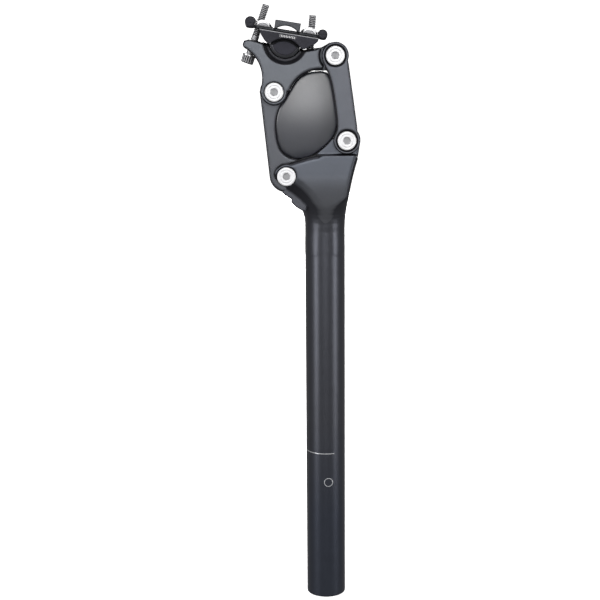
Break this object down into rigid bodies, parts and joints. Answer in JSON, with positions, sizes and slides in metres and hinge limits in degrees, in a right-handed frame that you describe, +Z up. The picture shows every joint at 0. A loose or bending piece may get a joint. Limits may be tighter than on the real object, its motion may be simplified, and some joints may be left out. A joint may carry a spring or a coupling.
{
  "type": "suspension seatpost",
  "caption": "Suspension seatpost with a parallelogram linkage, an elastomer spring between the links, a tubular post and a two-bolt clamp for round saddle rails.",
  "frame": {"origin": "centre of the open lower end of the seatpost tube", "axes": "+Z up along the tube, +X to the front of the bicycle, -Y its right-hand side"},
  "size_m": [0.0794, 0.054, 0.4129],
  "materials": {
    "post_black": "black anodised, satin",
    "link_black": "black anodised, satin",
    "head_grey": "black anodised, satin",
    "elastomer": "moulded, satin",
    "axle_steel": "ground",
    "bright_steel": "polished",
    "bushing": "plain",
    "clamp_black": "black anodised, grained",
    "clamp_grey": "grey anodised",
    "black_bolt": "black oxide",
    "washer_steel": "zinc plated"
  },
  "bodies": {
    "post": {"post": "post_black", "axle_lower_rear": "axle_steel", "pivot_bolt_lower_rear_right": "bright_steel", "pivot_bolt_lower_rear_left": "bright_steel", "bushing_lower_front_right": "bushing", "bushing_lower_front_left": "bushing"},
    "rear_link": {"rear_link": "link_black", "elastomer": "elastomer", "bushing_lower_rear_right": "bushing", "bushing_lower_rear_left": "bushing", "bushing_upper_rear_right": "bushing", "bushing_upper_rear_left": "bushing"},
    "front_link": {"front_link": "link_black", "axle_lower_front": "axle_steel", "axle_upper_front": "axle_steel", "pivot_bolt_lower_front_right": "bright_steel", "pivot_bolt_lower_front_left": "bright_steel", "pivot_bolt_upper_front_right": "bright_steel", "pivot_bolt_upper_front_left": "bright_steel"},
    "head": {"head": "head_grey", "axle_upper_rear": "axle_steel", "pivot_bolt_upper_rear_right": "bright_steel", "pivot_bolt_upper_rear_left": "bright_steel", "bushing_upper_front_right": "bushing", "bushing_upper_front_left": "bushing"},
    "clamp": {"clamp_cradle": "clamp_black", "clamp_rocker": "clamp_black", "clamp_top": "clamp_grey", "barrel_nut_rear": "bright_steel", "barrel_nut_front": "bright_steel"},
    "rear_bolt": {"clamp_bolt_rear": "black_bolt", "clamp_washer_rear": "washer_steel"},
    "front_bolt": {"clamp_bolt_front": "black_bolt", "clamp_washer_front": "washer_steel"}
  },
  "joints": [
    {"name": "rear_link", "type": "hinge", "parent": "post", "child": "rear_link", "pos_m": [-0.0258, 0, 0.3002], "axis": [0, -1, 0], "range_deg": [0, 55], "stiffness_Nm_per_rad": 70, "deforming": ["elastomer"]},
    {"name": "front_link", "type": "hinge", "parent": "post", "child": "front_link", "pos_m": [0.01439, 0, 0.32359], "axis": [0, -1, 0], "range_deg": [0, 55]},
    {"name": "head", "type": "hinge", "parent": "rear_link", "child": "head", "pos_m": [-0.0334, 0, 0.35568], "axis": [0, -1, 0], "range_deg": [-55, 0]},
    {"name": "clamp_tilt", "type": "hinge", "parent": "head", "child": "clamp", "pos_m": [-0.0258, 0, 0.388], "axis": [0, -1, 0], "range_deg": [-4, 4]},
    {"name": "rear_bolt", "type": "slide", "parent": "clamp", "child": "rear_bolt", "axis": [0.3338, 0, 0.9426], "range_m": [-0.00141, 0.00141]},
    {"name": "front_bolt", "type": "slide", "parent": "clamp", "child": "front_bolt", "axis": [0.0872, 0, 0.9962], "range_m": [-0.00119, 0.00119]}
  ],
  "couplings": [
    {"joint": "front_link", "follows": "rear_link", "ratio": 1},
    {"joint": "head", "follows": "rear_link", "ratio": -1},
    {"joint": "rear_bolt", "follows": "clamp_tilt", "m_per_rad": 0.019792},
    {"joint": "front_bolt", "follows": "clamp_tilt", "m_per_rad": -0.016643}
  ]
}
